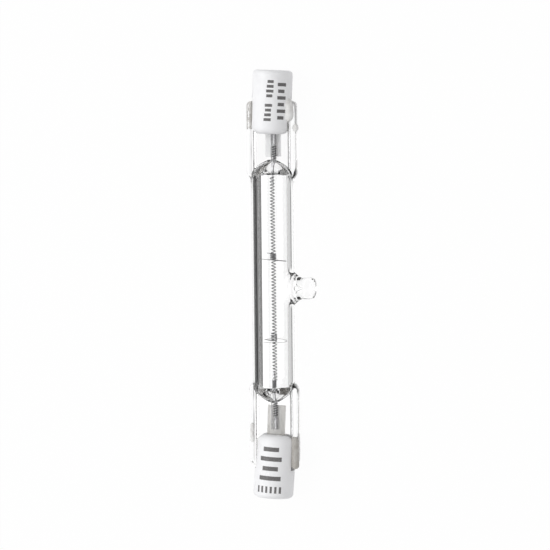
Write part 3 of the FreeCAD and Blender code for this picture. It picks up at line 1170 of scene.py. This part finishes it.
@dataclass
class Cap(EndPiece):
    """A slotted round ceramic end with a contact recess."""

    end: LampEnd
    marks: list[InkMark]
    length: float = 11.6
    half: float = 39.0
    radius: float = 3.65
    outer_round: float = 0.75
    inner_round: float = 1.25
    slot: float = 1.7
    slot_depth: float = 6.4
    slot_reach: float = 6.0
    overlap: float = 2.0
    mouth: float = 0.12
    recess: float = 1.6
    recess_depth: float = 1.25
    seat: float = 1.18
    seat_depth: float = 2.05
    shank: float = 0.75
    shank_depth: float = 3.25
    lead: float = 0.5
    lead_overlap: Pair = (1.0, 0.2)
    bevel: float = 0.16
    bevel_over: float = 40.0
    round_steps: int = 8
    stem = "cap_"
    smooth_up_to = 35.0

    def outline(self) -> Outline:
        """The cap's section from its inner end to the bottom of the recess.

        Returns:
            Points as distance along the cap and distance from its axis.
        """
        low = self.half - self.length
        turns = [index / self.round_steps * QUARTER_TURN for index in range(self.round_steps + 1)]
        points = [(low, 0.0), (low, self.radius - self.inner_round)]
        points += [(low + self.inner_round * (1 - math.cos(turn)),
                    self.radius - self.inner_round * (1 - math.sin(turn))) for turn in turns[1:]]
        points += [(self.half - self.outer_round * (1 - math.sin(turn)),
                    self.radius - self.outer_round * (1 - math.cos(turn))) for turn in turns]
        points += [(self.half, self.recess + self.mouth), (self.half - self.mouth, self.recess)]
        for depth, wide, narrow in ((self.recess_depth, self.recess, self.seat),
                                    (self.seat_depth, self.seat, self.shank),
                                    (self.shank_depth, self.shank, 0.0)):
            points += [(self.half - depth, wide), (self.half - depth, narrow)]
        return points

    def shape(self) -> Object:
        """Turn the cap, cut its slot and soften its edges."""
        low = self.half - self.length
        bottom = low + self.slot_depth
        obj = Bench.turned(self.name, self.outline(), 96)
        slot = Bench.box("slot", (-self.slot_reach, low - self.overlap, -self.slot),
                         (self.slot_reach, bottom, self.slot))
        Bench.combine(obj, slot, "DIFFERENCE")
        before, after = self.lead_overlap
        hole = Bench.cylinder("hole", self.lead, bottom - before, self.half - self.shank_depth + after, 24)
        Bench.combine(obj, hole, "DIFFERENCE")
        Bench.modify(obj, "BEVEL", width=self.bevel, segments=3, limit_method="ANGLE",
                     angle_limit=math.radians(self.bevel_over), harden_normals=False)
        return obj

    @property
    def finish(self) -> CeramicFinish:
        """The ceramic with its marks."""
        return CeramicFinish(self.radius, self.marks)

    def matrix(self, lay: Lay) -> Matrix:
        """From the cap's own straight axes to the frame."""
        return lay.caps[self.end]


@dataclass(frozen=True)
class Lump:
    """One rounded run of cement, in the axes of its end."""

    low: Place
    high: Place
    radius: float

    def build(self) -> Object:
        """Make a ball and pull its two halves apart along Y.

        Returns:
            The lump in the axes of its end.
        """
        bpy.ops.mesh.primitive_uv_sphere_add(segments=20, ring_count=12, radius=self.radius)
        obj = Bench.added("lump")
        Bench.reshape(obj, lambda co: co + Vector(self.high if co.y > 0 else self.low))
        return obj


@dataclass
class Cement(EndPiece):
    """The fill in one slot, with what ran out of it."""

    end: LampEnd
    lumps: list[Lump]
    finish: CementFinish
    low: float = 28.0
    high: float = 33.75
    slot: float = 1.7
    reach: float = 3.0
    voxel: float = 0.12
    stem = "cement_fill_"

    @staticmethod
    def roughen(co: Vector) -> Vector:
        """Make one point of the smooth heap uneven, most of all sideways."""
        lump = 0.1 * noise.fractal(co * 0.9, 1.0, 2.0, 4) + 0.04 * noise.noise(co * 3.1)
        sideways = 1 + lump / max(1.0, abs(co.x))
        return Vector((co.x * sideways, co.y + lump * 0.6, co.z + lump * 0.12))

    def shape(self) -> Object:
        """Heap the cement up and melt it into one lump."""
        obj = Bench.box(self.name, (-self.reach, self.low, -self.slot), (self.reach, self.high, self.slot))
        for lump in self.lumps:
            Bench.merge(obj, lump.build())
        Bench.modify(obj, "REMESH", mode="VOXEL", voxel_size=self.voxel)
        Bench.modify(obj, "SMOOTH", factor=0.8, iterations=4)
        Bench.reshape(obj, self.roughen)
        return obj


@dataclass(frozen=True)
class EndDesign:
    """What only one end of the lamp has, in millimetres along that end."""

    support: WireSupport
    marks: list[InkMark]
    lumps: list[Lump]
    cement: CementFinish
    spirals: dict[float, WoundWire]
    foil: FoilFinish


def upper_marks() -> list[InkMark]:
    """Plain bars in two columns along the upper cap.

    Returns:
        Eight short bars and six longer ones.
    """
    marks = [InkMark(-0.15 + 0.05 * index, 30.0 + index * 0.86, 1.35 - 0.12 * (index % 3), 0.52)
             for index in range(9) if index != 4]
    for index in range(6):
        marks.append(InkMark(2.35 + 0.1 * (index % 2), 30.4 + index * 1.2, 1.3 + 0.45 * (index % 2), 0.62))
    return marks


def lower_marks() -> list[InkMark]:
    """Four plain bars and a row of six ticks on the lower cap."""
    bars = [InkMark(0.4, 29.9 + index * 1.77, 3.0 + 1.2 * (index % 2), 0.8) for index in range(4)]
    return bars + [InkMark(-1.7 + index * 0.85, 37.3, 0.42, 1.2) for index in range(6)]


DESIGNS = {
    LampEnd.A: EndDesign(
        support=WireSupport("support_a", 4.45, 0.0, math.radians(2), math.radians(5), -1.0),
        marks=upper_marks(),
        lumps=[Lump((3.3, 30.5, 1.55), (3.3, 32.9, 1.5), 0.88),
               Lump((4.5, 28.3, 1.2), (4.5, 28.7, 1.2), 0.52),
               Lump((-3.95, 28.6, -1.5), (-3.95, 33.0, -1.5), 0.35)],
        cement=CementFinish(0.45),
        spirals={0.45: WoundWire(0.34, 0.19, 0.43, 22.6, 25.2)},
        foil=FoilFinish((0.98, 0.98, 0.98), (0.95, 0.95, 0.955), 1.42, 0.22)),
    LampEnd.B: EndDesign(
        support=WireSupport("support_b", -10.3, math.radians(150), math.radians(-5), math.radians(1)),
        marks=lower_marks(),
        lumps=[Lump((-3.87, 28.5, 1.4), (-3.92, 33.0, 1.4), 0.74),
               Lump((3.9, 25.6, 1.45), (3.9, 28.4, 1.45), 0.4),
               Lump((-1.4, 27.7, 1.3), (-2.8, 28.3, 1.3), 0.42)],
        cement=CementFinish(0.85),
        spirals={-0.25: WoundWire(0.34, 0.19, 0.43, 21.5, 24.1),
                 0.0: WoundWire(0.33, 0.17, 0.2, 17.5, 19.0)},
        # Foil B has darker colours than foil A: a dimmer painted reflection on the same foil.
        foil=FoilFinish((0.83, 0.82, 0.8), (0.7, 0.685, 0.66), 1.65, -0.12)),
}
PRESSINGS = {1.0: Pressing(20.3, 33.45, 0.3), -1.0: Pressing(19.1, 33.0, 0.5)}


@dataclass(frozen=True)
class SoftLight:
    """One square light: where it stands and how wide it is in metres, and its power in watts."""

    name: str
    place: Place
    size: float
    power: float


@dataclass
class Studio:
    """The floor, the soft lights and the camera.

    Glass shows the floor with painted shade in bands along the lamp, a painted shadow of the lamp
    that only rays through glass see. Where they start and stop is in millimetres from the lamp's
    middle, or from the tip's.
    """

    centre: Vector
    roll: float
    look: float = math.radians(9.0)
    tilt: float = math.radians(3.0)
    lean: float = math.radians(-0.55)
    distance: float = 0.5
    span: float = 0.1004
    right: float = 0.00029
    up: float = 0.0017
    sensor: float = 36.0
    floor_size: float = 6.0
    # Painted shade on the floor that only glass shows: bands left and right of the lamp and round the tip,
    # and how dark each is.
    left: Pair = (-5.8, -6.2)
    left_depth: float = 0.97
    far_left: Pair = (-25.0, -45.0)
    far_left_less: float = 0.28
    right_bands: tuple[Pair, ...] = ((2.7, 3.0), (3.5, 3.8), (5.9, 6.4))
    right_depths: tuple[float, float, float] = (0.8, 0.4, 0.38)
    past_foot: Pair = (2.9, 3.9)
    beside_tip: Pair = (1.6, 3.0)
    past_tip: Pair = (11.0, 13.0)
    beyond: Pair = (7.0, 8.0)
    beyond_foot: Pair = (4.5, 5.2)
    beyond_depth: float = 0.85
    shadow_left: float = 0.03
    surround: float = 0.45
    lights: tuple[SoftLight, ...] = (SoftLight("key", (-0.3, 0.06, 0.48), 0.5, 1.97),
                                     SoftLight("fill", (0.3, -0.2, 0.6), 0.6, 0.9))

    def floor_painted_shade(self, x: Value, y: Value) -> Value:
        """How much painted shade darkens the floor where glass shows it.

        Args:
            x: the place across the lamp.
            y: the place along it, from the tip.

        Returns:
            Zero where no painted shade darkens it, to one where it looks black.
        """
        left = x.step(*self.left) * (self.left_depth - x.step(*self.far_left) * self.far_left_less)
        first, second, third = [x.step(*band) for band in self.right_bands]
        deep, less, least = self.right_depths
        off_foot = abs(y).step(*self.past_foot)
        right = first * (deep - second * less - third * least) * off_foot
        off_tip = abs(y).step(*self.beside_tip).larger(x.step(*self.past_tip))
        beyond = x.step(*self.beyond).larger(x.step(*self.beyond_foot) * (1.0 - off_foot))
        return left + right + beyond * off_tip * self.beyond_depth

    def floor(self) -> None:
        """Lay a wide pale floor that keeps a faint shadow, and shows painted shade in bands through glass.
        """
        bpy.ops.mesh.primitive_plane_add(size=self.floor_size, location=(0, 0, 0))
        obj = Bench.added("floor")
        made = Material("floor", Matrix.Translation(self.centre) @ Matrix.Scale(MM, 4))
        made.set(Base_Color=(0.8, 0.8, 0.8), Roughness=0.9, Specular_IOR_Level=0.0)
        x, y, _ = made.parts()
        path = made.node("ShaderNodeLightPath")
        through = made.value(path.outputs["Is Transmission Ray"])
        seen = made.value(path.outputs["Is Camera Ray"]).larger(made.value(path.outputs["Is Glossy Ray"]))
        # Painted shade: rays through glass see the glowing floor darkened in bands.
        bright = 1.0 - through * self.floor_painted_shade(x, y - QuartzEnvelope.tip)
        glow = made.node("ShaderNodeEmission", Color=bright, Strength=1.0)
        made.mix_out(through.larger(seen * (1 - self.shadow_left)), glow)
        Bench.dress(obj, made.material)

    def world(self) -> None:
        """An even pale surround, plain white to the camera."""
        world = bpy.data.worlds.new("surround")
        bpy.context.scene.world = world
        world.use_nodes = True
        tree = world.node_tree
        background = tree.nodes["Background"]
        background.inputs["Color"].default_value = (1.0, 1.0, 1.0, 1.0)
        path = tree.nodes.new("ShaderNodeLightPath")
        camera = Value(tree, path.outputs["Is Camera Ray"])
        strength = camera * (1 - self.surround) + self.surround
        tree.links.new(strength.socket, background.inputs["Strength"])

    def light(self, design: SoftLight) -> None:
        """Add one soft light, aimed at the lamp.

        Args:
            design: the light.
        """
        data = bpy.data.lights.new(design.name, "AREA")
        data.energy = design.power
        data.size = design.size
        obj = bpy.data.objects.new(design.name, data)
        obj.location = design.place
        obj.rotation_euler = (self.centre - Vector(design.place)).to_track_quat("-Z", "Y").to_euler()
        bpy.context.collection.objects.link(obj)

    def camera(self) -> None:
        """Look down on the lamp from the tip's side, with the tube upright in the picture."""
        turn = Matrix.Rotation(self.roll + self.look, 4, "Y") @ Matrix.Rotation(-self.tilt, 4, "X")
        turn = turn @ Matrix.Rotation(self.lean, 4, "Z")
        target = self.centre + turn @ Vector((self.right, self.up, 0))
        data = bpy.data.cameras.new("camera")
        data.sensor_width = self.sensor
        data.lens = self.sensor * self.distance / self.span
        obj = bpy.data.objects.new("camera", data)
        obj.matrix_world = Matrix.Translation(target + turn @ Vector((0, 0, self.distance))) @ turn
        bpy.context.collection.objects.link(obj)
        bpy.context.scene.camera = obj

    def build(self) -> None:
        """Set the whole studio up."""
        self.floor()
        self.world()
        for design in self.lights:
            self.light(design)
        self.camera()
        bpy.context.scene.view_settings.view_transform = "Standard"


def report(obj: Object) -> None:
    """Say that a piece is done."""
    LOG.info("%s: %d faces, %s", obj.name, len(obj.data.polygons), obj.data.materials[0].name)


def main() -> None:
    """Build every piece around the frame."""
    logging.basicConfig(level=logging.INFO, format="%(message)s")
    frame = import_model()
    lay = Lay.from_record(frame["record"])
    LOG.info("lamp lies at %s, rolled %.2f degrees", tuple(lay.centre), math.degrees(lay.roll))

    glass = QuartzEnvelope(PRESSINGS).build(lay)
    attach(glass, "root")
    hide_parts("quartz_envelope")
    report(glass)

    filament = Filament().build(lay)
    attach(filament, "root")
    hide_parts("filament")
    report(filament)

    for end, design in DESIGNS.items():
        support = design.support.build(lay)
        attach(support, "root")
        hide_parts("filament_support_" + end.label)
        report(support)

    for end, design in DESIGNS.items():
        cap = Cap(end, design.marks).build(lay)
        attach(cap, "root")
        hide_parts("ceramic_cap_" + end.label)
        report(cap)
        cement = Cement(end, design.lumps, design.cement).build(lay)
        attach(cement, "root")
        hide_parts("cement_" + end.label)
        report(cement)
        spiral = LeadSpiral(end, design.spirals).build(lay)
        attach(spiral, "root")
        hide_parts("lead_spiral_" + end.label)
        report(spiral)

    for end, design in DESIGNS.items():
        for node, finish in (("outer_lead_", MOLYBDENUM), ("inner_lead_", LEAD),
                             ("sealing_foil_", design.foil), ("contact_", CONTACT)):
            obj = frame["nodes"][node + end.label]
            Bench.dress(obj, finish.make(obj.name, lay.end(end)))
            report(obj)

    Studio(lay.centre, lay.roll).build()


if __name__ == "__main__":
    main()
